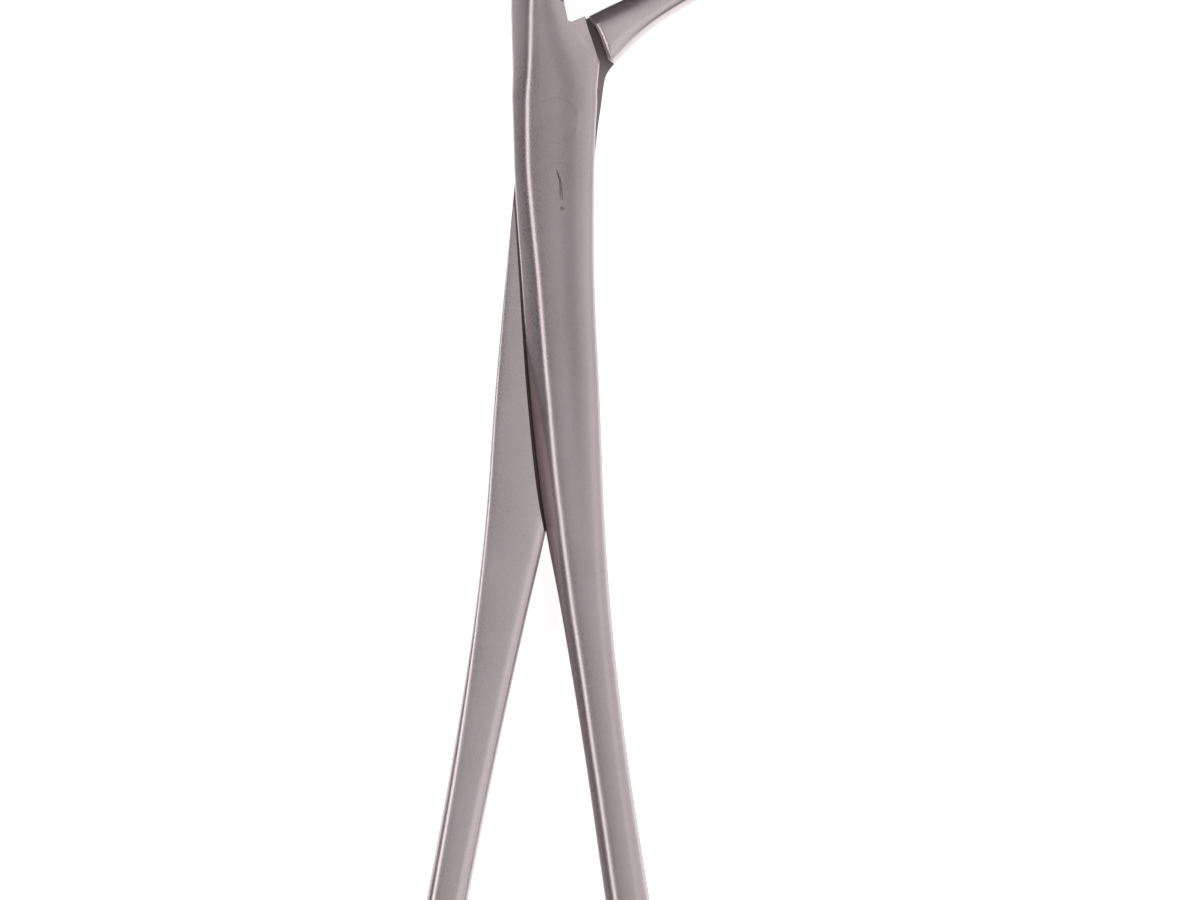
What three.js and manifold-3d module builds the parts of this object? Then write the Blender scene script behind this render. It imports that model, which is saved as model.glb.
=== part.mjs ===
// Hawk's-bill extraction forceps: two forged steel halves that cross in a half-lap joint and
// turn on one flush rivet. Millimetres. The forceps lies flat: Z is the hinge axis, the handles
// run towards -Y and the beaks curve towards +X. The origin is where the hinge axis meets the
// flat back of the joint.

import * as THREE from 'three';
import { mergeVertices } from 'three/addons/utils/BufferGeometryUtils.js';
import Module from 'manifold-3d';

const wasm = await Module();
wasm.setup();

// Joint
const JOINT_THICKNESS = 9.6;
const MID_PLANE = JOINT_THICKNESS / 2;
const LAP_GAP = 0.1;
const SIDE_GAP = 0.35;

// Rivet: a shank with a low cone at each end, peened flush into countersinks
const RIVET_RADIUS = 2.5;
const RIVET_HEAD_RADIUS = 3.0;
const RIVET_CONE_DEPTH = 0.7;
const RIVET_LAND = 0.15;
const RIVET_RECESS = 0.05;
const RIVET_CLEARANCE = 0.09;

// Each half is one forged bar. A station gives the middle of the bar in plan (x, y), its width
// across, its depth along the hinge axis, and how square its section is (2 is an ellipse).
const FRONT_HALF_STATIONS = [
  [12.3, -119.8, 6.0, 7.6, 3.0],
  [9.5, -102.5, 5.8, 8.2, 3.2],
  [6.6, -83.0, 5.6, 8.6, 3.4],
  [4.0, -64.0, 6.6, 8.6, 3.8],
  [2.5, -52.0, 8.0, 8.9, 4.5],
  [1.3, -36.8, 9.2, 9.5, 5.0],
  [0.4, -21.0, 9.6, 10.0, 6.0],
  [-0.1, -6.0, 10.6, 10.2, 6.0],
  [0.0, 4.0, 11.6, 10.2, 6.0],
  [-1.9, 12.2, 7.8, 10.0, 6.0],
  [-2.4, 16.0, 6.8, 9.6, 5.0],
  [-1.5, 21.4, 6.4, 9.0, 4.0],
  [1.6, 25.9, 6.0, 8.2, 3.6],
  [6.8, 28.9, 5.5, 7.4, 3.2],
  [12.8, 29.7, 5.0, 6.7, 3.0],
  [18.8, 28.6, 4.3, 6.1, 2.8],
  [24.2, 26.1, 3.5, 5.6, 2.6],
  [28.2, 23.3, 2.4, 5.0, 2.4],
];
const REAR_HALF_STATIONS = [
  [-17.4, -119.8, 5.8, 7.6, 3.0],
  [-14.2, -102.5, 5.4, 8.2, 3.2],
  [-10.5, -83.0, 5.7, 8.6, 3.4],
  [-7.0, -64.0, 6.9, 8.6, 3.8],
  [-5.3, -54.0, 8.0, 8.9, 4.5],
  [-3.3, -38.0, 9.6, 9.5, 5.0],
  [-1.7, -23.0, 10.1, 10.0, 6.0],
  [-0.2, -8.0, 10.2, 10.2, 6.0],
  [0.9, 2.0, 10.2, 10.2, 6.0],
  [3.2, 8.2, 8.4, 10.0, 6.0],
  [7.2, 11.6, 6.4, 9.4, 5.0],
  [11.2, 14.3, 5.0, 8.4, 3.8],
  [15.8, 17.1, 4.6, 7.6, 3.2],
  [20.4, 19.3, 4.1, 6.7, 2.9],
  [24.6, 20.8, 3.3, 5.8, 2.6],
  [28.2, 21.7, 2.4, 5.0, 2.4],
];
const END_ROUNDING = 2.6;
const RING_POINTS = 24;
const BAR_STEPS = 60;
const SCOOP_STEPS = 12;

// Beside the notch at the root of its beak, each lap plate has a shoulder.
const SHOULDER_OUTLINE = [
  [-2.0, -1.0],
  [5.4, -1.0],
  [5.9, 7.9],
  [3.95, 13.75],
  [2.2, 13.0],
  [0.0, 11.6],
  [-2.0, 9.0],
];
const SHOULDER_SET_BACK = 0.15;
const SHOULDER_BEVEL = 0.4;

// Edges of the lap in plan, as the front half makes them: its inner edge below the joint, and
// the hollow step on the rear half's beak that faces its shoulder.
const INNER_EDGE = [[0.3, -60], [-1.5, -52], [-3.3, -36.8], [-4.4, -21], [-5.4, -6]];
const HOLLOW_STEP = [[4.35, 14.2], [6.7, 11.4], [7.35, 8.0]];
const MIDDLE_LINE_SLOPE = 0.022;

// Below the joint each half deepens from its lap plate to the full depth of the handle.
const RAMP_START = -8;
const RAMP_END = -46;

// The inner face of each beak is scooped out along its length.
const FRONT_SCOOP_STATIONS = [
  [7.0, 26.0, 1.2, 2.4, 2.0],
  [12.8, 27.2, 2.0, 3.8, 2.0],
  [18.3, 26.5, 2.0, 3.6, 2.0],
  [23.2, 24.6, 1.6, 3.0, 2.0],
  [26.6, 22.9, 0.8, 1.8, 2.0],
];
const REAR_SCOOP_STATIONS = [
  [10.6, 17.0, 1.2, 2.4, 2.0],
  [14.8, 19.3, 2.0, 3.8, 2.0],
  [19.6, 21.4, 2.0, 3.6, 2.0],
  [23.8, 22.4, 1.6, 3.0, 2.0],
  [26.8, 22.8, 0.8, 1.8, 2.0],
];

function toSolid(geometry) {
  const plain = geometry.clone();
  plain.deleteAttribute('normal');
  plain.deleteAttribute('uv');
  const merged = mergeVertices(plain, 1e-4);
  return new wasm.Manifold(new wasm.Mesh({
    numProp: 3,
    vertProperties: new Float32Array(merged.attributes.position.array),
    triVerts: new Uint32Array(merged.index.array),
  }));
}

function toGeometry(solid) {
  const mesh = solid.getMesh();
  const geometry = new THREE.BufferGeometry();
  geometry.setAttribute('position', new THREE.BufferAttribute(mesh.vertProperties, 3));
  geometry.setIndex(new THREE.BufferAttribute(mesh.triVerts, 1));
  geometry.computeVertexNormals();
  return geometry;
}

function superellipse(value, squareness) {
  return Math.sign(value) * Math.abs(value) ** (2 / squareness);
}

// A round-ended bar that follows the stations: a capsule, stretched ring by ring.
function forgedBar(stations, steps = BAR_STEPS) {
  const spine = new THREE.CatmullRomCurve3(
    stations.map(([x, y]) => new THREE.Vector3(x, y, MID_PLANE)),
  );
  const section = new THREE.CatmullRomCurve3(
    stations.map(([, , width, depth, squareness]) => new THREE.Vector3(width, depth, squareness)),
  );
  const length = spine.getLength();
  const straight = length - 2 * END_ROUNDING;
  const bar = new THREE.CapsuleGeometry(END_ROUNDING, straight, 4, RING_POINTS, steps);
  const position = bar.attributes.position;
  const up = new THREE.Vector3(0, 0, 1);
  for (let i = 0; i < position.count; i += 1) {
    const along = THREE.MathUtils.clamp(position.getY(i) / length + 0.5, 0, 1);
    const t = spine.getUtoTmapping(along);
    const centre = spine.getPoint(t);
    const across = spine.getTangent(t).cross(up).normalize();
    const { x: width, y: depth, z: squareness } = section.getPoint(t);
    const angle = Math.atan2(position.getZ(i), position.getX(i));
    const fill = Math.hypot(position.getX(i), position.getZ(i)) / END_ROUNDING;
    centre.addScaledVector(across, superellipse(Math.cos(angle), squareness) * fill * width / 2);
    centre.addScaledVector(up, superellipse(Math.sin(angle), squareness) * fill * depth / 2);
    position.setXYZ(i, centre.x, centre.y, centre.z);
  }
  return toSolid(bar);
}

// A flat shape in plan, raised from one height to another.
function slab(shape, bottom, top, bevel = 0) {
  const geometry = new THREE.ExtrudeGeometry(shape, {
    depth: top - bottom - 2 * bevel,
    bevelEnabled: bevel > 0,
    bevelThickness: bevel,
    bevelSize: bevel,
    bevelOffset: -bevel,
    bevelSegments: 2,
    curveSegments: 12,
  });
  geometry.translate(0, 0, bottom + bevel);
  return toSolid(geometry);
}

// The forceps is even about its middle line, so the rear half's lap is the front half's,
// mirrored in that line in plan and in the mid plane in height.
function mirrorPoint([x, y]) {
  return [2 * MIDDLE_LINE_SLOPE * y - x, y];
}

function planShape(points) {
  return new THREE.Shape(points.map(([x, y]) => new THREE.Vector2(x, y)));
}

function shoulder(mirrored) {
  const outline = mirrored ? SHOULDER_OUTLINE.map(mirrorPoint) : SHOULDER_OUTLINE;
  const bottom = mirrored ? SHOULDER_SET_BACK : MID_PLANE + LAP_GAP / 2;
  const top = mirrored ? MID_PLANE - LAP_GAP / 2 : JOINT_THICKNESS - SHOULDER_SET_BACK;
  return slab(planShape(outline), bottom, top, SHOULDER_BEVEL);
}

// The room that one half's lap plate needs in the other half.
function lapRoom(mirrored) {
  const edge = new THREE.SplineCurve(INNER_EDGE.map(([x, y]) => new THREE.Vector2(x - SIDE_GAP, y)));
  const step = new THREE.SplineCurve(HOLLOW_STEP.map(([x, y]) => new THREE.Vector2(x, y)));
  const outline = [
    ...edge.getPoints(24).map((point) => point.toArray()),
    [-9, 2],
    [-9, 17],
    [0.5, 17],
    ...step.getPoints(12).map((point) => point.toArray()),
    [12, 5],
    [12, -60],
  ];
  if (mirrored) {
    return slab(planShape(outline.map(mirrorPoint)), -1, MID_PLANE + LAP_GAP / 2);
  }
  return slab(planShape(outline), MID_PLANE - LAP_GAP / 2, JOINT_THICKNESS + 1);
}

// What is taken off each half below the joint to leave its ramp, drawn from the side.
function rampCut(mirrored) {
  const rise = mirrored ? -MID_PLANE : MID_PLANE;
  const shape = new THREE.Shape();
  shape.moveTo(RAMP_START + 6, 0);
  shape.lineTo(RAMP_START, 0);
  shape.bezierCurveTo(RAMP_START - 14, 0, RAMP_END + 16, rise, RAMP_END, rise);
  shape.lineTo(RAMP_END, 2 * rise);
  shape.lineTo(RAMP_START + 6, 2 * rise);
  shape.closePath();
  const geometry = new THREE.ExtrudeGeometry(shape, { depth: 40, bevelEnabled: false, curveSegments: 12 });
  const alongY = new THREE.Vector3(0, 1, 0);
  const alongZ = new THREE.Vector3(0, 0, 1);
  const alongX = new THREE.Vector3(1, 0, 0);
  geometry.applyMatrix4(new THREE.Matrix4().makeBasis(alongY, alongZ, alongX));
  geometry.translate(-20, 0, MID_PLANE);
  return toSolid(geometry);
}

function rivetGeometry(clearance, overrun) {
  const top = JOINT_THICKNESS - RIVET_RECESS;
  const head = RIVET_HEAD_RADIUS + clearance;
  const shank = RIVET_RADIUS + clearance;
  const profile = [
    [0, RIVET_RECESS - overrun],
    [head, RIVET_RECESS - overrun],
    [head, RIVET_RECESS + RIVET_LAND],
    [shank, RIVET_RECESS + RIVET_LAND + RIVET_CONE_DEPTH],
    [shank, top - RIVET_LAND - RIVET_CONE_DEPTH],
    [head, top - RIVET_LAND],
    [head, top + overrun],
    [0, top + overrun],
  ];
  const geometry = new THREE.LatheGeometry(profile.map(([x, y]) => new THREE.Vector2(x, y)), 64);
  geometry.rotateX(Math.PI / 2);
  return geometry;
}

// The outer faces of the joint are ground flat, which also sets the thickness of the forceps.
function groundFlat() {
  const geometry = new THREE.BoxGeometry(100, 300, JOINT_THICKNESS);
  geometry.translate(0, 0, MID_PLANE);
  return toSolid(geometry);
}

function half(stations, scoopStations, isRear) {
  return forgedBar(stations)
    .intersect(groundFlat())
    .subtract(lapRoom(!isRear))
    .add(shoulder(isRear))
    .subtract(rampCut(!isRear))
    .subtract(forgedBar(scoopStations, SCOOP_STEPS))
    .subtract(toSolid(rivetGeometry(RIVET_CLEARANCE, 1)));
}

function steelMesh(name, geometry, color, roughness) {
  const material = new THREE.MeshStandardMaterial({ name: `${name}_steel`, color, roughness, metalness: 1 });
  const mesh = new THREE.Mesh(geometry, material);
  mesh.name = name;
  return mesh;
}

const forceps = new THREE.Group();
forceps.name = 'extraction_forceps';
forceps.add(
  steelMesh('front_half', toGeometry(half(FRONT_HALF_STATIONS, FRONT_SCOOP_STATIONS, false)), 0x9a8f90, 0.38),
  steelMesh('rear_half', toGeometry(half(REAR_HALF_STATIONS, REAR_SCOOP_STATIONS, true)), 0xa39999, 0.42),
  steelMesh('hinge_rivet', rivetGeometry(0, 0), 0xb0a8a8, 0.25),
);

export default forceps;
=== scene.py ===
import math
import bmesh
import bpy
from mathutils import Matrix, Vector


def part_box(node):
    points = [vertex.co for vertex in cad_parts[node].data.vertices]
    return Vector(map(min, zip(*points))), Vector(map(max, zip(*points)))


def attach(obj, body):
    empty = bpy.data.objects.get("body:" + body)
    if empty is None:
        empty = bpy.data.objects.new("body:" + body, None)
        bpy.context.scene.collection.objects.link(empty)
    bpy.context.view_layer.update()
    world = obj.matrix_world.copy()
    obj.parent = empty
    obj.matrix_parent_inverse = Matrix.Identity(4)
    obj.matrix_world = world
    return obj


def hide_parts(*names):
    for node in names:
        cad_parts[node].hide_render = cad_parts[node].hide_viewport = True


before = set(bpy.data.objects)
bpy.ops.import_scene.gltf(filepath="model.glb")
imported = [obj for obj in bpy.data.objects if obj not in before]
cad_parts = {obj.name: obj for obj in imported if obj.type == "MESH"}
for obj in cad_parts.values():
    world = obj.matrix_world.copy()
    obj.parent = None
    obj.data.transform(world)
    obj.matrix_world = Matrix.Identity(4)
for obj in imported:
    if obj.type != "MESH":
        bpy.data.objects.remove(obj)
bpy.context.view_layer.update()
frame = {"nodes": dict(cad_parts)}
print("frame loaded:", ", ".join(frame["nodes"]))

mm = 0.001
rivetLow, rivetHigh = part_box("hinge_rivet")
jointThickness = (rivetLow.z + rivetHigh.z) / mm   # the rivet sits evenly between the outer faces
midPlane = jointThickness / 2
middleLineLean = 0.022   # the closed forceps' middle line leans this much in x for each y
overrun = 1   # cutting tools reach this far past the outer faces
samePoint = 1e-7   # points of a drawn mesh that are closer than this, in metres, become one
sameSeam = 1e-6   # the same for the two ends of a spun mesh, which meet less exactly


def pick(piece=None):
    # operators act on all that is selected, so everything is deselected first
    if bpy.context.mode != "OBJECT":
        bpy.ops.object.mode_set(mode="OBJECT")
    bpy.ops.object.select_all(action="DESELECT")
    if piece:
        piece.select_set(True)
        bpy.context.view_layer.objects.active = piece


def editAll(piece):
    pick(piece)
    bpy.ops.object.mode_set(mode="EDIT")
    bpy.ops.mesh.select_all(action="SELECT")


def plate(name, outline, low, high):
    # a flat shape in plan, drawn in millimetres and raised from one height to another
    pick()
    bpy.ops.mesh.primitive_circle_add(vertices=len(outline), radius=mm, fill_type="NGON")
    piece = bpy.context.object
    piece.name = name
    for vertex, (x, y) in zip(piece.data.vertices, outline):
        vertex.co = (x * mm, y * mm, low * mm)
    editAll(piece)
    bpy.ops.mesh.extrude_region_move(TRANSFORM_OT_translate={"value": (0, 0, (high - low) * mm)})
    bpy.ops.mesh.select_all(action="SELECT")
    bpy.ops.mesh.normals_make_consistent(inside=False)
    pick()
    return piece


def copyOf(piece, name):
    other = piece.copy()
    other.data = piece.data.copy()
    other.name = name
    bpy.context.scene.collection.objects.link(other)
    return other


def shapeWith(piece, tool, operation="DIFFERENCE", keepTool=False):
    pick(piece)
    modifier = piece.modifiers.new("shape", "BOOLEAN")
    modifier.object = tool
    modifier.operation = operation
    modifier.solver = "EXACT"
    bpy.ops.object.modifier_apply(modifier=modifier.name)
    if not keepTool:
        bpy.data.objects.remove(tool, do_unlink=True)


def knotsAlong(lengths):
    knots = [0.0]
    for length in lengths:
        knots.append(knots[-1] + length)
    return knots


def spanAt(knots, where):
    # the number of the stretch between two knots that holds this place
    return min(max(sum(knot <= where for knot in knots) - 1, 0), len(knots) - 2)


def lineAt(rows, knots, where):
    # a smooth line through the rows at the knots, with no overshoot where they are uneven
    last = len(rows) - 1
    i = spanAt(knots, where)

    def slope(k):
        before = max(k, 1)
        after = min(k, last - 1)
        stepIn = knots[before] - knots[before - 1]
        stepOut = knots[after + 1] - knots[after]
        slopeIn = (rows[before] - rows[before - 1]) / stepIn
        slopeOut = (rows[after + 1] - rows[after]) / stepOut
        return (slopeIn * stepOut + slopeOut * stepIn) / (stepIn + stepOut)

    span = knots[i + 1] - knots[i]
    s = (where - knots[i]) / span
    bow = s * s * (3 - 2 * s)
    straight = rows[i] * (1 - bow) + rows[i + 1] * bow
    return straight + slope(i) * (span * s * (1 - s) ** 2) - slope(i + 1) * (span * s * s * (1 - s))


# A station is the middle of a bar in plan (x, y), its width and depth, the bevel along its left
# front edge (how wide, how deep), the bevel along its right back edge, how soft the other edges
# are (0 is crisp, 1 is round), how far its shoulder reaches out and how high its outer face
# swells beside the middle. All are in millimetres.
barMaking = {
    "ringSpacing": 1.25,
    "endRounding": 2.5,
    "endRings": 7,
    "cornerPoints": 5,
    "facePoints": 8,
    "ridgeEdge": 0.85,
    "rolledEdge": 0.25,
    "crispEdge": 0.4,
    "softEdge": 0.42,
    "sideShare": 0.48,   # the most of a side that one corner's curve may use
    "facedCorners": (2, 5),   # the corners that start the front and the back face
    "runStep": 0.01,
    "swellEdges": (0.12, 0.62),   # where the swell is whole and where it has gone, out from the middle
    "leastScale": 0.04,
    "smoothAngle": 32,
}


def barStation(rows, knots, where):
    # the run and the size of the bar are smooth, its bevels blend evenly from row to row
    places = [Vector(row[:4]) for row in rows]
    step = barMaking["runStep"]
    run = [lineAt(places, knots, where + shift) for shift in (-step, step)]
    i = spanAt(knots, where)
    s = min(max((where - knots[i]) / (knots[i + 1] - knots[i]), 0), 1)
    shape = [a + (b - a) * s for a, b in zip(rows[i][4:], rows[i + 1][4:])]
    return (run[0] + run[1]) / 2, (run[1] - run[0]).xy.normalized(), shape


def softened(corners, softness):
    # every corner becomes a short curve, a crisp one on the first bevel's ridge
    points = []
    count = barMaking["cornerPoints"]
    share = barMaking["sideShare"]
    for i, corner in enumerate(corners):
        before = corners[i - 1] - corner
        after = corners[(i + 1) % len(corners)] - corner
        reach = softness[i]
        start = corner + before.normalized() * min(reach, before.length * share)
        end = corner + after.normalized() * min(reach, after.length * share)
        for k in range(count):
            s = k / (count - 1)
            points.append(start * (1 - s) ** 2 + corner * (2 * s * (1 - s)) + end * s * s)
        if i in barMaking["facedCorners"]:
            following = corners[(i + 1) % len(corners)]
            farReach = min(softness[(i + 1) % len(corners)], after.length * share)
            far = following + (corner - following).normalized() * farReach
            for k in range(1, barMaking["facePoints"] + 1):
                points.append(end.lerp(far, k / (barMaking["facePoints"] + 1)))
    return points


def quarterTurns(steps):
    return [math.pi / 2 * k / steps for k in range(steps + 1)]


def easedStep(value, low, high):
    s = min(max((value - low) / (high - low), 0), 1)
    return s * s * (3 - 2 * s)


def rampDepth(y, full):
    # below the joint each half deepens along a long curve from its lap plate to its handle
    top, low = lap["ramp"]
    if y > top or full < lap["rampLeast"]:
        return full
    return full * easedStep(y, top, low) ** lap["rampPower"] + lap["rampCover"]


def barRing(rows, knots, where, inset, frontCrown, backCrown, isRear):
    centre, forward, shape = barStation(rows, knots, where)
    frontBand, frontDrop, backBand, backDrop, soft, reach, swell = shape
    w = centre[2] / 2
    d = centre[3] / 2
    left = -w - (reach if isRear else 0)
    right = w + (0 if isRear else reach)
    corners = [Vector(corner) for corner in (
        (left, -d), (left, d - frontDrop), (-w + frontBand, d),
        (right, d), (right, -d + backDrop), (w - backBand, -d))]
    crisp, ridge, rolled = (barMaking[key] for key in ("crispEdge", "ridgeEdge", "rolledEdge"))
    roomy = crisp + soft * min(w, d) * 2 * barMaking["softEdge"]
    points = softened(corners, [roomy, rolled, ridge, roomy, rolled, ridge])
    across = Vector((forward.y, -forward.x))
    ring = []
    for u, v in points:
        if (v > 0) == isRear:
            v *= rampDepth(centre[1], d) / d
        fall = (frontCrown if v > 0 else backCrown) * (u / w) ** 2
        if (v > 0) != isRear:
            fall += swell * (1 - easedStep(-u / w if isRear else u / w, *barMaking["swellEdges"]))
        v -= fall * (v / d)
        u *= max(1 - inset / w, barMaking["leastScale"])
        v *= max(1 - inset / d, barMaking["leastScale"])
        ring.append(Vector((
            (centre[0] + across.x * u) * mm,
            (centre[1] + across.y * u) * mm,
            (midPlane + v) * mm)))
    return ring


def wrapped(name, rings):
    # a flat grid is wrapped into a closed bar, one row of its points for each ring
    around = len(rings[0])
    pick()
    bpy.ops.mesh.primitive_grid_add(x_subdivisions=around, y_subdivisions=len(rings) - 1, size=mm)
    piece = bpy.context.object
    piece.name = name
    for vertex in piece.data.vertices:
        row, column = divmod(vertex.index, around + 1)
        vertex.co = rings[row][column % around]
    editAll(piece)
    bpy.ops.mesh.remove_doubles(threshold=samePoint)
    bpy.ops.mesh.fill_holes(sides=0)
    bpy.ops.mesh.select_all(action="SELECT")
    bpy.ops.mesh.normals_make_consistent(inside=False)
    pick()
    return piece


def forgedBar(name, rows, frontCrown=0.0, backCrown=0.0, isRear=False):
    knots = knotsAlong(math.dist(a[:2], b[:2]) for a, b in zip(rows, rows[1:]))
    length = knots[-1]
    share = barMaking["sideShare"]
    first = min(barMaking["endRounding"], rows[0][2] * share)
    final = min(barMaking["endRounding"], rows[-1][2] * share)
    turns = quarterTurns(barMaking["endRings"])
    places = [(first * (1 - math.cos(a)), first * (1 - math.sin(a))) for a in turns]
    middle = max(round((length - first - final) / barMaking["ringSpacing"]), 2)
    places += [(first + (length - first - final) * k / middle, 0) for k in range(1, middle)]
    places += [(length - final * (1 - math.cos(a)), final * (1 - math.sin(a))) for a in reversed(turns)]
    rings = [barRing(rows, knots, where, inset, frontCrown, backCrown, isRear) for where, inset in places]
    return wrapped(name, rings)


# the half lap, drawn for the front half; the rear half's is the same, turned over the middle line
lap = {
    "gap": 0.06,   # between the two lap faces
    "sideGap": 0.35,   # between a half and the wall that the other one left for it
    "lineSteps": 24,
    "stepSteps": 12,
    "outerSide": [(-9, 2), (-9, 17), (0.5, 17)],
    "handleSide": [(12, 5), (12, -60)],
    "innerEdge": [(0.3, -60), (-1.5, -52), (-3.3, -36.8), (-4.4, -21), (-5.4, -6)],
    "hollowStep": [(4.2, 14.3), (5.4, 12.0), (6.3, 9.8), (7.0, 8.0)],
    "stepLip": {
        "line": [(4.2, 14.3), (4.9, 13.1), (5.4, 12.0), (5.87, 10.9), (6.3, 9.8), (7.0, 8.0)],
        "round": 0.85, "face": 9.42, "side": 1, "runOut": (1.5, 1.5)},
    "shoulderLip": {
        "line": [(3.95, 13.75), (5.9, 7.9)],
        "round": 0.55, "face": 9.12, "side": -1, "runOut": (0.8, 0.5)},
    "shoulderTrim": [
        (5.56, 3), (5.68, 5.5), (5.9, 7.9), (3.95, 13.75), (2.2, 13.0), (1.7, 13.15), (1.1, 16),
        (2.4, 18), (14, 18), (14, 3)],
    "facet": [(1.5, 13.0), (2.8, 11.1), (5.95, 7.3), (8, 8.2), (5.5, 16), (2.2, 14.6)],
    "facetLine": ((1.5, 13.0), (5.95, 7.3)),
    "facetDrops": (0.30, 0.55),   # how far below the face each end of the facet's edge lies
    "facetFall": 0.17,   # how fast it falls away from that edge
    "rearShoulder": [(-2, -1), (5.4, -1), (5.9, 7.9), (3.95, 13.75), (2.2, 13.0), (0, 11.6), (-2, 9)],
    "rearShoulderDrop": 0.22,
    "ramp": (-8, -54),   # where in y the deepening starts and ends
    "rampPower": 0.8,
    "rampCover": 0.02,
    "rampLeast": 4,   # the slim ends of the handles keep their own depth
    "lipSteps": 6,
    "lipOverlap": 0.5,
    "lipRise": 1.5,
    "lipCover": 0.02,
    "easedAngle": 38,   # edges sharper than this, in degrees, are eased
    "edgeRound": 0.25,
    "smallest": 0.004,
}


def turnedOver(point):
    return (2 * middleLineLean * point[1] - point[0], point[1])


def smoothLine(points, steps):
    rows = [Vector(point) for point in points]
    knots = knotsAlong((b - a).length for a, b in zip(rows, rows[1:]))
    return [tuple(lineAt(rows, knots, knots[-1] * k / steps)) for k in range(steps + 1)]


def lapRoom(isRear):
    # the room that each half leaves for the other one's lap plate
    edge = [(x - lap["sideGap"], y) for x, y in smoothLine(lap["innerEdge"], lap["lineSteps"])]
    step = smoothLine(lap["hollowStep"], lap["stepSteps"])
    outline = edge + lap["outerSide"] + step + lap["handleSide"]
    if isRear:
        return plate("lapRoom", outline, midPlane - lap["gap"] / 2, jointThickness + overrun)
    outline = [turnedOver(point) for point in outline]
    return plate("lapRoom", outline, -overrun, midPlane + lap["gap"] / 2)


def facetTool(isRear):
    # a plate whose underside slopes, to take the shallow facet off the shoulder's diagonal edge
    (x0, y0), (x1, y1) = lap["facetLine"]
    run = Vector((x1 - x0, y1 - y0))
    away = Vector((-run.y, run.x)).normalized()
    tool = plate("facetTool", lap["facet"], 0, overrun)
    for vertex in tool.data.vertices:
        x, y, z = vertex.co / mm
        if z < overrun / 2:
            along = (Vector((x - x0, y - y0)) @ run) / run.length_squared
            drop = lap["facetDrops"][0] * (1 - along) + lap["facetDrops"][1] * along
            z = jointThickness - drop - (Vector((x - x0, y - y0)) @ away) * lap["facetFall"]
        else:
            z = jointThickness + overrun
        if isRear:
            x, y = turnedOver((x, y))
            z = jointThickness - z
        vertex.co = Vector((x, y, z)) * mm
    editAll(tool)
    bpy.ops.mesh.normals_make_consistent(inside=False)
    pick()
    return tool


def lipTool(values, onFront):
    # a swept strip whose underside is a quarter round, to ease the outer edge along a line
    points = [Vector(point) for point in values["line"]]
    points.insert(0, points[0] + (points[0] - points[1]).normalized() * values["runOut"][0])
    points.append(points[-1] + (points[-1] - points[-2]).normalized() * values["runOut"][1])
    reach = values["round"]
    turns = quarterTurns(lap["lipSteps"])
    section = [(-lap["lipOverlap"], lap["lipRise"]), (-lap["lipOverlap"], -reach)]
    section += [(reach * (1 - math.cos(a)), reach * (math.sin(a) - 1)) for a in turns]
    section += [(reach + lap["lipCover"], lap["lipRise"])]
    rings = []
    for i, point in enumerate(points):
        before = points[max(i - 1, 0)]
        after = points[min(i + 1, len(points) - 1)]
        run = (after - before).normalized()
        inward = Vector((-run.y, run.x)) * values["side"]
        ring = []
        for s, h in section:
            x, y = point + inward * s
            z = values["face"] + h
            if not onFront:
                x, y = turnedOver((x, y))
                z = jointThickness - z
            ring.append(Vector((x, y, z)) * mm)
        rings.append(ring)
    return wrapped("lip", rings)


def addShoulder(bar, isRear):
    # the front half's shoulder is part of its face; the rear half's is a plate on its back
    if isRear:
        outline = [turnedOver(point) for point in lap["rearShoulder"]]
        shoulder = plate("shoulder", outline, lap["rearShoulderDrop"], midPlane - lap["gap"] / 2)
        shapeWith(bar, shoulder, "UNION")
    else:
        trim = plate("shoulderTrim", lap["shoulderTrim"], midPlane - overrun, jointThickness + overrun)
        shapeWith(bar, trim)


rivet = {
    "headRadius": 3.0,
    "shankRadius": 2.5,
    "coneDepth": 0.7,
    "land": 0.15,
    "seam": 0.015,
    "untouched": 0.2,   # how far round the hole the edges stay as they were cut
    "turns": 96,
}


def turnedPin(name, grow):
    # a short line is spun round the hinge axis into a pin with a cone under each head
    head = rivet["headRadius"] + grow
    shank = rivet["shankRadius"] + grow
    cone = rivet["land"] + rivet["coneDepth"]
    profile = [
        (0, -overrun), (head, -overrun), (head, rivet["land"]), (shank, cone),
        (shank, jointThickness - cone), (head, jointThickness - rivet["land"]),
        (head, jointThickness + overrun), (0, jointThickness + overrun)]
    pick()
    bpy.ops.mesh.primitive_grid_add(x_subdivisions=len(profile) - 1, y_subdivisions=1, size=mm)
    pin = bpy.context.object
    pin.name = name
    for vertex in pin.data.vertices:
        radius, height = profile[vertex.index % len(profile)]
        vertex.co = (radius * mm, 0, height * mm)
    editAll(pin)
    bpy.ops.mesh.remove_doubles(threshold=samePoint)
    bpy.ops.mesh.select_all(action="SELECT")
    bpy.ops.mesh.delete(type="ONLY_FACE")
    bpy.ops.mesh.select_all(action="SELECT")
    bpy.ops.mesh.spin(steps=rivet["turns"], angle=math.tau, center=(0, 0, 0), axis=(0, 0, 1))
    bpy.ops.mesh.select_all(action="SELECT")
    bpy.ops.mesh.remove_doubles(threshold=sameSeam)
    bpy.ops.mesh.normals_make_consistent(inside=False)
    pick()
    return pin


# a short generic tally stroke and a dot, struck into the front face with a sharp punch
tickMark = {
    "stroke": [(0.20, -6.5, 0.06), (0.62, -7.7, 0.17), (0.80, -9.0, 0.24), (0.82, -10.5, 0.34)],
    "dot": [(0.93, -11.35, 0.16), (0.95, -11.6, 0.34), (0.95, -11.85, 0.16)],
    "depth": 0.3,
    "faceDrop": 0.2,
    "above": 0.1,
    "narrowing": 0.85,
    "area": ((-0.5, -12.3, 8), (1.8, -6.2, 10)),   # the edges in this box stay as they were struck
}


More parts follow.
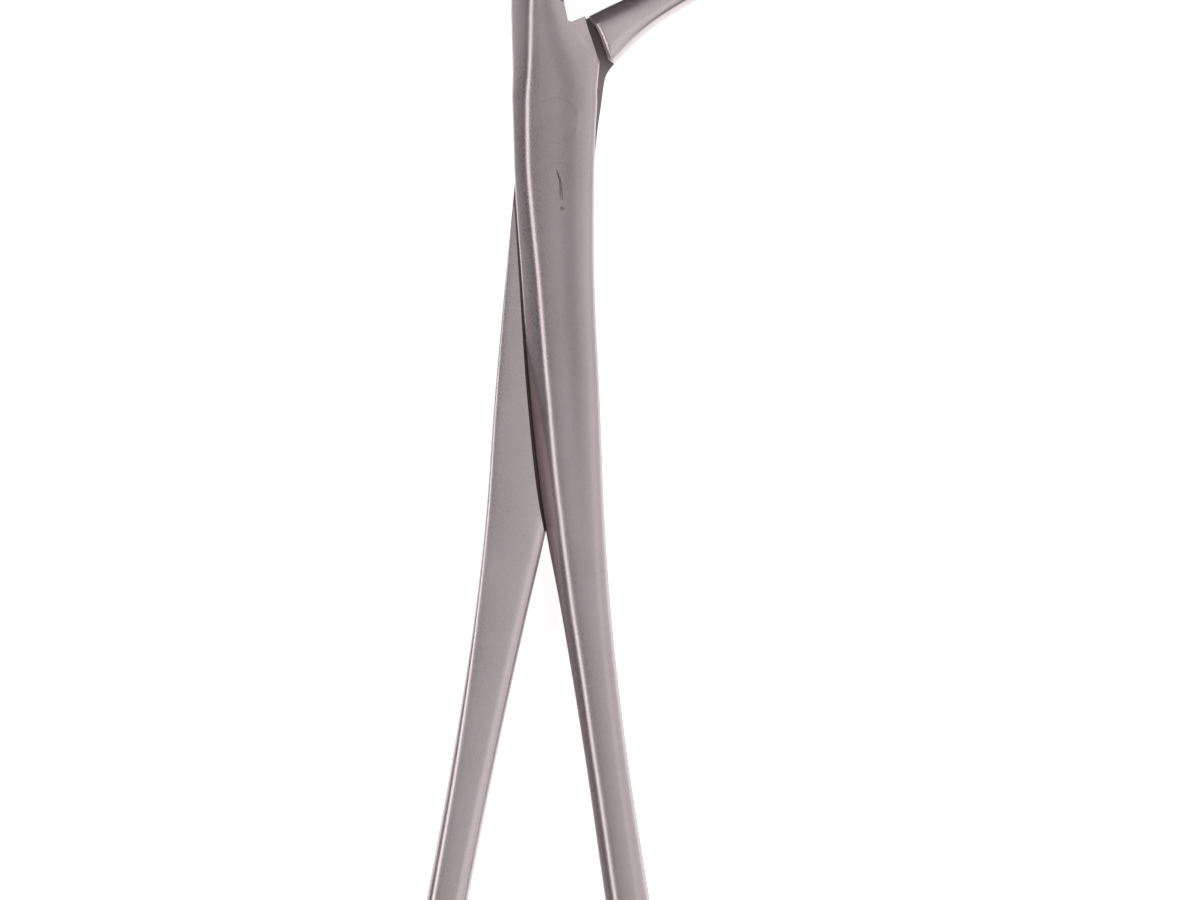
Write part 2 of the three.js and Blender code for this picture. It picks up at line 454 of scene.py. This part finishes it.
def tickTool(name, points):
    # a wedge that is as wide as the mark at the face and comes to an edge below it
    face = jointThickness - tickMark["faceDrop"]
    left = [(x - half, y) for x, y, half in points]
    right = [(x + half, y) for x, y, half in reversed(points)]
    tool = plate(name, left + right, face - tickMark["depth"], face + tickMark["above"])
    middles = [x for x, _, _ in points] + [x for x, _, _ in reversed(points)]
    for vertex in tool.data.vertices:
        if vertex.co.z < (face - tickMark["depth"] / 2) * mm:
            middle = middles[vertex.index % len(middles)] * mm
            vertex.co.x += (middle - vertex.co.x) * tickMark["narrowing"]
    return tool


frontHalf = {
    "rows": [
        (12.3, -119.8, 6.0, 7.6, 1.2, 1.03, 0.6, 0.6, 0.50, 0, 0),
        (9.5, -102.5, 5.8, 8.2, 1.15, 0.99, 0.6, 0.6, 0.50, 0, 0),
        (6.6, -83.0, 5.6, 8.6, 1.05, 0.90, 0.6, 0.6, 0.46, 0, 0),
        (4.0, -64.0, 6.6, 8.6, 1.35, 1.16, 0.5, 0.5, 0.40, 0, 0),
        (2.5, -52.0, 8.0, 8.9, 2.1, 1.81, 0.3, 0.3, 0.26, 0, 0.06),
        (1.3, -36.8, 9.2, 9.5, 2.4, 2.06, 0.3, 0.3, 0.18, 0, 0.15),
        (0.4, -21.0, 9.6, 9.6, 2.1, 1.81, 0.3, 0.3, 0.15, 0, 0.21),
        (-0.1, -6.0, 10.6, 9.6, 1.7, 1.46, 0.3, 0.3, 0.13, 0, 0.21),
        (-0.1, -1.0, 10.9, 9.6, 1.75, 1.50, 0.3, 0.3, 0.12, 0, 0.21),
        (-0.15, 4.0, 11.1, 9.6, 1.95, 1.68, 0.3, 0.3, 0.12, 0.1, 0.21),
        (-1.9, 12.2, 7.8, 9.6, 2.45, 2.11, 0.4, 0.4, 0.18, 4.6, 0.21),
        (-2.4, 16.0, 6.8, 9.4, 2.6, 2.24, 0.5, 0.5, 0.26, 0, 0.15),
        (-1.5, 21.4, 6.4, 8.8, 2.9, 2.49, 0.7, 0.7, 0.40, 0, 0),
        (1.6, 25.9, 6.0, 8.1, 2.4, 2.06, 0.8, 0.8, 0.50, 0, 0),
        (6.8, 28.9, 5.5, 7.3, 1.9, 1.63, 0.8, 0.8, 0.60, 0, 0),
        (12.8, 29.7, 5.0, 6.6, 1.5, 1.29, 0.8, 0.8, 0.65, 0, 0),
        (18.8, 28.6, 4.3, 6.0, 1.2, 1.03, 0.7, 0.7, 0.70, 0, 0),
        (24.2, 26.1, 3.5, 5.5, 0.9, 0.77, 0.6, 0.6, 0.75, 0, 0),
        (28.2, 23.3, 2.4, 4.9, 0.6, 0.52, 0.5, 0.5, 0.80, 0, 0),
    ],
    "scoop": [(7.0, 26.0, 1.2, 2.4), (12.8, 27.2, 2.0, 3.8), (18.3, 26.5, 2.0, 3.6),
              (23.2, 24.6, 1.6, 3.0), (26.6, 22.9, 0.8, 1.8)],
    "frontCrown": 0.3,
    "backCrown": 0.1,
}
rearHalf = {
    "rows": [
        (-17.4, -119.8, 5.8, 7.6, 0.9, 0.9, 0.8, 0.69, 0.50, 0, 0),
        (-14.2, -102.5, 5.4, 8.2, 0.75, 0.75, 0.8, 0.69, 0.50, 0, 0),
        (-10.5, -83.0, 5.7, 8.6, 0.6, 0.6, 1.0, 0.86, 0.40, 0, 0),
        (-7.0, -64.0, 6.9, 8.6, 0.35, 0.35, 1.35, 1.16, 0.30, 0, 0),
        (-5.3, -54.0, 8.0, 8.9, 0.3, 0.3, 2.0, 1.72, 0.22, 0, 0.06),
        (-3.3, -38.0, 9.6, 9.5, 0.3, 0.3, 2.4, 2.06, 0.16, 0, 0.15),
        (-1.7, -23.0, 10.1, 9.6, 0.3, 0.3, 2.1, 1.81, 0.15, 0, 0.21),
        (-0.2, -8.0, 10.2, 9.6, 0.3, 0.3, 1.8, 1.55, 0.13, 0, 0.21),
        (0.9, 2.0, 10.2, 9.6, 0.3, 0.3, 2.0, 1.72, 0.12, 0, 0.21),
        (3.2, 8.2, 8.4, 9.6, 0.8, 0.4, 2.3, 1.98, 0.22, 0, 0.15),
        (7.2, 11.6, 6.4, 9.2, 1.9, 0.7, 2.2, 1.89, 0.50, 0, 0),
        (11.2, 14.3, 5.0, 8.3, 1.9, 0.7, 1.9, 1.63, 0.80, 0, 0),
        (15.8, 17.1, 4.6, 7.5, 1.6, 0.7, 1.5, 1.29, 0.90, 0, 0),
        (20.4, 19.3, 4.1, 6.6, 1.2, 0.7, 1.2, 1.03, 0.90, 0, 0),
        (24.6, 20.8, 3.3, 5.7, 0.9, 0.7, 0.9, 0.77, 0.90, 0, 0),
        (28.2, 21.7, 2.4, 4.9, 0.6, 0.6, 0.6, 0.52, 0.90, 0, 0),
    ],
    "scoop": [(10.6, 17.0, 1.2, 2.4), (14.8, 19.3, 2.0, 3.8), (19.6, 21.4, 2.0, 3.6),
              (23.8, 22.4, 1.6, 3.0), (26.8, 22.8, 0.8, 1.8)],
    "frontCrown": 0.1,
    "backCrown": 0.3,
}


def easeEdges(piece, reach):
    # takes the sharpness off every cut edge, but not off the rivet's hole or the struck mark
    low, high = tickMark["area"]
    editAll(piece)
    bpy.ops.mesh.select_mode(type="EDGE")
    bpy.ops.mesh.select_all(action="DESELECT")
    mesh = bmesh.from_edit_mesh(piece.data)
    for edge in mesh.edges:
        middle = (edge.verts[0].co + edge.verts[1].co) / (2 * mm)
        inHole = middle.xy.length < rivet["headRadius"] + rivet["untouched"]
        inMark = all(a < b < c for a, b, c in zip(low, middle, high))
        isSharp = edge.calc_face_angle(0) > math.radians(lap["easedAngle"])
        if isSharp and not inHole and not inMark:
            edge.select = True
    bmesh.update_edit_mesh(piece.data)
    bpy.ops.mesh.bevel(offset=reach * mm, segments=2, clamp_overlap=True)
    # slivers that the cuts left are merged away, so the shell stays closed
    bpy.ops.mesh.select_mode(type="VERT")
    bpy.ops.mesh.select_all(action="SELECT")
    bpy.ops.mesh.remove_doubles(threshold=lap["smallest"] * mm)
    bpy.ops.mesh.dissolve_degenerate(threshold=lap["smallest"] * mm)
    bpy.ops.mesh.select_all(action="SELECT")
    bpy.ops.mesh.quads_convert_to_tris()
    pick()


def smoothFaces(piece):
    pick(piece)
    bpy.ops.object.shade_smooth_by_angle(angle=math.radians(barMaking["smoothAngle"]))
    pick()


def makeHalf(name, values, isRear):
    bar = forgedBar(name, values["rows"], values["frontCrown"], values["backCrown"], isRear)
    blank = copyOf(bar, name + "Blank")
    shapeWith(bar, lapRoom(isRear))
    addShoulder(bar, isRear)
    shapeWith(bar, facetTool(isRear))
    plainRound = (0, 0, 0, 0, 1, 0, 0)
    shapeWith(bar, forgedBar("scoop", [row + plainRound for row in values["scoop"]]))
    shapeWith(bar, turnedPin("rivetHole", rivet["seam"]))
    if not isRear:
        for mark in ("stroke", "dot"):
            shapeWith(bar, tickTool(mark, tickMark[mark]))
    # the lips are drawn as they lie on the front: the step's on the rear half, the shoulder's here
    shapeWith(bar, lipTool(lap["stepLip"], isRear))
    shapeWith(bar, lipTool(lap["shoulderLip"], not isRear))
    easeEdges(bar, lap["edgeRound"])
    smoothFaces(bar)
    return bar, blank


frontPiece, frontBlank = makeHalf("frontHalf", frontHalf, False)
rearPiece, rearBlank = makeHalf("rearHalf", rearHalf, True)
print("halves shaped:", len(frontPiece.data.polygons), len(rearPiece.data.polygons), "faces")

# the rivet is ground flush with both halves, so its ends take the blanks' own faces
rivetPiece = turnedPin("hingeRivet", 0)
shapeWith(rivetPiece, frontBlank, "INTERSECT", keepTool=True)
shapeWith(rivetPiece, rearBlank, "INTERSECT", keepTool=True)
smoothFaces(rivetPiece)
for blank in (frontBlank, rearBlank):
    bpy.data.objects.remove(blank, do_unlink=True)
print("rivet turned:", len(rivetPiece.data.polygons), "faces")


def nodeGroup(name, inputs, outputs):
    group = bpy.data.node_groups.new(name, "ShaderNodeTree")
    for label, kind, value in inputs:
        socket = group.interface.new_socket(label, in_out="INPUT", socket_type="NodeSocket" + kind)
        if value is not None:
            socket.default_value = value
    for label, kind in outputs:
        group.interface.new_socket(label, in_out="OUTPUT", socket_type="NodeSocket" + kind)
    return group


def addNode(tree, kind, **values):
    node = tree.nodes.new("ShaderNode" + kind)
    for key, value in values.items():
        if hasattr(node, key):
            setattr(node, key, value)
        else:
            node.inputs[key.replace("_", " ")].default_value = value
    return node


def mathNode(tree, operation, a, b):
    node = addNode(tree, "Math", operation=operation)
    for socket, value in zip(node.inputs, (a, b)):
        if isinstance(value, (int, float)):
            socket.default_value = value
        else:
            tree.links.new(value, socket)
    return node.outputs[0]


def satinGrainGroup():
    # fine even grain from the last blasting or brushing, as a height and a mask
    group = nodeGroup("satinGrain", [("Vector", "Vector", None), ("Size", "Float", 5000.0),
                                     ("Stretch", "Float", 1.0)], [("Height", "Float"), ("Mask", "Float")])
    start = group.nodes.new("NodeGroupInput")
    end = group.nodes.new("NodeGroupOutput")
    scale = addNode(group, "CombineXYZ", X=1.0, Z=1.0)
    group.links.new(start.outputs["Stretch"], scale.inputs["Y"])
    stretched = addNode(group, "VectorMath", operation="MULTIPLY")
    group.links.new(start.outputs["Vector"], stretched.inputs[0])
    group.links.new(scale.outputs[0], stretched.inputs[1])
    noise = addNode(group, "TexNoise", Detail=4.0, Roughness=0.62)
    group.links.new(stretched.outputs[0], noise.inputs["Vector"])
    group.links.new(start.outputs["Size"], noise.inputs["Scale"])
    spread = addNode(group, "MapRange", From_Min=0.3, From_Max=0.7)
    group.links.new(noise.outputs["Fac"], spread.inputs["Value"])
    group.links.new(spread.outputs[0], end.inputs["Height"])
    group.links.new(spread.outputs[0], end.inputs["Mask"])
    return group


def handledToneGroup():
    # slow changes of tone where hands, trays and cleaning have dulled the polish
    group = nodeGroup("handledTone", [("Vector", "Vector", None), ("Size", "Float", 90.0),
                                      ("Light", "Color", (0.6, 0.57, 0.57, 1)),
                                      ("Dark", "Color", (0.5, 0.47, 0.47, 1))],
                      [("Color", "Color"), ("Mask", "Float")])
    start = group.nodes.new("NodeGroupInput")
    end = group.nodes.new("NodeGroupOutput")
    noise = addNode(group, "TexNoise", Detail=3.0, Roughness=0.5, Distortion=0.4)
    group.links.new(start.outputs["Vector"], noise.inputs["Vector"])
    group.links.new(start.outputs["Size"], noise.inputs["Scale"])
    spread = addNode(group, "MapRange", From_Min=0.32, From_Max=0.68)
    group.links.new(noise.outputs["Fac"], spread.inputs["Value"])
    mix = addNode(group, "Mix", data_type="RGBA")
    group.links.new(spread.outputs[0], mix.inputs["Factor"])
    group.links.new(start.outputs["Dark"], mix.inputs[6])
    group.links.new(start.outputs["Light"], mix.inputs[7])
    group.links.new(mix.outputs[2], end.inputs["Color"])
    group.links.new(spread.outputs[0], end.inputs["Mask"])
    return group


def finePitsGroup():
    # tiny pits and specks, few and far between
    group = nodeGroup("finePits", [("Vector", "Vector", None), ("Size", "Float", 700.0),
                                   ("Amount", "Float", 0.12),
                                   ("Rarity", "Float", 0.63)], [("Mask", "Float")])
    start = group.nodes.new("NodeGroupInput")
    end = group.nodes.new("NodeGroupOutput")
    cells = addNode(group, "TexVoronoi", Randomness=1.0)
    group.links.new(start.outputs["Vector"], cells.inputs["Vector"])
    group.links.new(start.outputs["Size"], cells.inputs["Scale"])
    patches = addNode(group, "TexNoise", Scale=240.0, Detail=1.0)
    group.links.new(start.outputs["Vector"], patches.inputs["Vector"])
    near = mathNode(group, "LESS_THAN", cells.outputs["Distance"], start.outputs["Amount"])
    rare = mathNode(group, "GREATER_THAN", patches.outputs["Fac"], start.outputs["Rarity"])
    both = mathNode(group, "MULTIPLY", near, rare)
    group.links.new(both, end.inputs["Mask"])
    return group


def lapGapShadeGroup():
    # painted shade: the faces of the lap lie flat at the mid plane and show only in the narrow gap at the
    # step and beside the other half; they are picked out here to be painted darker, standing in for the
    # shade in that gap
    group = nodeGroup("lapGapShade", [("Vector", "Vector", None), ("Height", "Float", midPlane * mm),
                                   ("Depth", "Float", 0.0002),
                                   ("Flatness", "Float", 0.9)], [("Mask", "Float")])
    start = group.nodes.new("NodeGroupInput")
    end = group.nodes.new("NodeGroupOutput")
    place = addNode(group, "SeparateXYZ")
    group.links.new(start.outputs["Vector"], place.inputs[0])
    facing = addNode(group, "SeparateXYZ")
    geometry = addNode(group, "NewGeometry")
    group.links.new(geometry.outputs["True Normal"], facing.inputs[0])
    offset = mathNode(group, "SUBTRACT", place.outputs["Z"], start.outputs["Height"])
    off = addNode(group, "Math", operation="ABSOLUTE")
    group.links.new(offset, off.inputs[0])
    level = mathNode(group, "LESS_THAN", off.outputs[0], start.outputs["Depth"])
    flat = addNode(group, "Math", operation="ABSOLUTE")
    group.links.new(facing.outputs["Z"], flat.inputs[0])
    lying = mathNode(group, "GREATER_THAN", flat.outputs[0], start.outputs["Flatness"])
    group.links.new(mathNode(group, "MULTIPLY", level, lying), end.inputs["Mask"])
    return group


satinGrain = satinGrainGroup()
lapGapShade = lapGapShadeGroup()
handledTone = handledToneGroup()
finePits = finePitsGroup()

steels = {
    "frontHalfSteel": {
        "light": (0.60, 0.52, 0.53, 1),
        "dark": (0.55, 0.475, 0.485, 1),
        "roughness": 0.28,
        "grain": 0.08,
        "bump": 0.035,
        "gapShade": 0.38,
    },
    # painted light: the rear half is the same steel as the front half and the rivet, but its colours are
    # painted lighter, standing in for the brighter light on its flat face
    "rearHalfLitSteel": {
        "light": (0.70, 0.62, 0.63, 1),
        "dark": (0.65, 0.57, 0.58, 1),
        "roughness": 0.28,
        "grain": 0.08,
        "bump": 0.035,
        "gapShade": 0.38,
    },
    "rivetSteel": {
        "light": (0.60, 0.52, 0.53, 1),
        "dark": (0.55, 0.475, 0.485, 1),
        "roughness": 0.28,
        "grain": 0.08,
        "bump": 0.035,
        "gapShade": 0.38,
    },
}


# what all three steels share
satin = {
    "toneSize": 70.0,
    "toneRoughness": 0.05,
    "grainSize": 5200.0,
    "grainStretch": 0.45,
    "grainShade": 0.10,
    "pitSize": 900.0,
    "pitAmount": 0.10,
    "pitShade": 0.18,
    "gapShadeRoughness": 0.25,
    "bumpDistance": 0.00002,
}


def makeSteel(name, values):
    material = bpy.data.materials.new(name)
    material.use_nodes = True
    tree = material.node_tree
    shader = tree.nodes["Principled BSDF"]
    shader.inputs["Metallic"].default_value = 1.0
    place = addNode(tree, "TexCoord").outputs["Object"]

    def useGroup(group, **inputs):
        node = tree.nodes.new("ShaderNodeGroup")
        node.node_tree = group
        tree.links.new(place, node.inputs["Vector"])
        for key, value in inputs.items():
            node.inputs[key].default_value = value
        return node

    tone = useGroup(handledTone, Size=satin["toneSize"], Light=values["light"], Dark=values["dark"])
    grain = useGroup(satinGrain, Size=satin["grainSize"], Stretch=satin["grainStretch"])
    pits = useGroup(finePits, Size=satin["pitSize"], Amount=satin["pitAmount"])
    gapShade = useGroup(lapGapShade)

    # the colour is the handled tone, darker in the pits and the grain, with painted shade on the lap
    # faces
    dull = mathNode(tree, "MULTIPLY", pits.outputs["Mask"], -satin["pitShade"])
    shade = mathNode(tree, "ADD", dull, 1.0)
    grainShade = mathNode(tree, "MULTIPLY_ADD", grain.outputs["Mask"], satin["grainShade"])
    grainShade.node.inputs[2].default_value = 1 - satin["grainShade"] / 2
    # painted shade: the lap faces' colour is darkened by each steel's gap amount, standing in for the
    # shade in the narrow gap between the halves
    gapShading = mathNode(tree, "MULTIPLY_ADD", gapShade.outputs["Mask"], -values["gapShade"])
    gapShading.node.inputs[2].default_value = 1.0
    shaded = mathNode(tree, "MULTIPLY", shade, grainShade)
    whole = mathNode(tree, "MULTIPLY", shaded, gapShading)
    tint = addNode(tree, "VectorMath", operation="SCALE")
    tree.links.new(tone.outputs["Color"], tint.inputs[0])
    tree.links.new(whole, tint.inputs["Scale"])
    tree.links.new(tint.outputs[0], shader.inputs["Base Color"])

    rough = mathNode(tree, "MULTIPLY_ADD", grain.outputs["Mask"], values["grain"])
    rough.node.inputs[2].default_value = values["roughness"] - values["grain"] / 2
    worn = mathNode(tree, "MULTIPLY_ADD", tone.outputs["Mask"], satin["toneRoughness"])
    tree.links.new(rough, worn.node.inputs[2])
    matt = mathNode(tree, "MULTIPLY_ADD", gapShade.outputs["Mask"], satin["gapShadeRoughness"])
    tree.links.new(worn, matt.node.inputs[2])
    tree.links.new(matt, shader.inputs["Roughness"])

    height = mathNode(tree, "SUBTRACT", grain.outputs["Height"], pits.outputs["Mask"])
    bump = addNode(tree, "Bump", Strength=values["bump"], Distance=satin["bumpDistance"])
    tree.links.new(height, bump.inputs["Height"])
    tree.links.new(bump.outputs[0], shader.inputs["Normal"])
    return material


def dress(piece, node, body, materialName):
    piece.data.materials.clear()
    piece.data.materials.append(makeSteel(materialName, steels[materialName]))
    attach(piece, body)
    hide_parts(node)


dress(frontPiece, "front_half", "front", "frontHalfSteel")
dress(rearPiece, "rear_half", "rear", "rearHalfLitSteel")
dress(rivetPiece, "hinge_rivet", "rear", "rivetSteel")
print("steel dressed")


# every softbox reaches between two leans from the vertical, in degrees, below 0 to the left of the
# forceps, and its glow is how bright its face is
studio = {
    "floorSize": 6.0,
    "floorColour": (0.93, 0.93, 0.93, 1),
    "floorRoughness": 0.9,
    "floorSheen": 0.1,
    "floorGlow": 0.72,
    "airColour": (0.035, 0.03, 0.04, 1),
    "middle": (0.0, -0.04, 0.0),
    "length": (-1.25, 1.2),
    "distance": 1.5,
    "boxes": {
        "lowLeftBox": {"lean": (-88, -62), "glow": 0.13},
        "farLeftBox": {"lean": (-50, -31), "glow": 2.0},
        "nearLeftBox": {"lean": (-28, -5), "glow": 0.27},
        "overheadBox": {"lean": (-4, 8), "glow": 0.58},
        "rightBox": {"lean": (9, 48), "glow": 0.80},
        "lowRightBox": {"lean": (50, 86), "glow": 0.75},
    },
}


def softbox(name, values):
    low, high = (math.radians(angle) for angle in values["lean"])
    lean = (low + high) / 2
    width = 2 * studio["distance"] * math.tan((high - low) / 2)
    front, back = studio["length"]
    x, y, z = studio["middle"]
    place = (x + studio["distance"] * math.sin(lean), y + (front + back) / 2,
             z + studio["distance"] * math.cos(lean))
    pick()
    bpy.ops.object.light_add(type="AREA", location=place, rotation=(0, lean, 0))
    box = bpy.context.object
    box.name = name
    box.data.shape = "RECTANGLE"
    box.data.size = width
    box.data.size_y = back - front
    box.data.energy = values["glow"] * math.pi * width * (back - front)


def makeStudio():
    pick()
    bpy.ops.mesh.primitive_plane_add(size=studio["floorSize"], location=(0, 0, 0))
    floor = bpy.context.object
    floor.name = "studioFloor"
    material = bpy.data.materials.new("paleFloor")
    material.use_nodes = True
    shader = material.node_tree.nodes["Principled BSDF"]
    shader.inputs["Base Color"].default_value = studio["floorColour"]
    shader.inputs["Roughness"].default_value = studio["floorRoughness"]
    shader.inputs["Specular IOR Level"].default_value = studio["floorSheen"]
    shader.inputs["Emission Color"].default_value = (1, 1, 1, 1)
    shader.inputs["Emission Strength"].default_value = studio["floorGlow"]
    floor.data.materials.append(material)
    for name, values in studio["boxes"].items():
        softbox(name, values)
    world = bpy.data.worlds.new("studioAir")
    bpy.context.scene.world = world
    world.use_nodes = True
    world.node_tree.nodes["Background"].inputs["Color"].default_value = studio["airColour"]
    bpy.context.scene.view_settings.view_transform = "Standard"


camera = {
    "centre": (5.92, -43.4),
    "pictureWidth": 157.9,
    "distance": 1000.0,
    "sensor": 36.0,
    "nearest": 0.01,
}


def makeCamera():
    pick()
    x, y = camera["centre"]
    height = jointThickness + camera["distance"]
    bpy.ops.object.camera_add(location=(x * mm, y * mm, height * mm), rotation=(0, 0, 0))
    eye = bpy.context.object
    eye.name = "pictureCamera"
    eye.data.sensor_width = camera["sensor"]
    eye.data.lens = camera["sensor"] * camera["distance"] / camera["pictureWidth"]
    eye.data.clip_start = camera["nearest"]
    bpy.context.scene.camera = eye


makeStudio()
makeCamera()
pick()
print("studio ready")
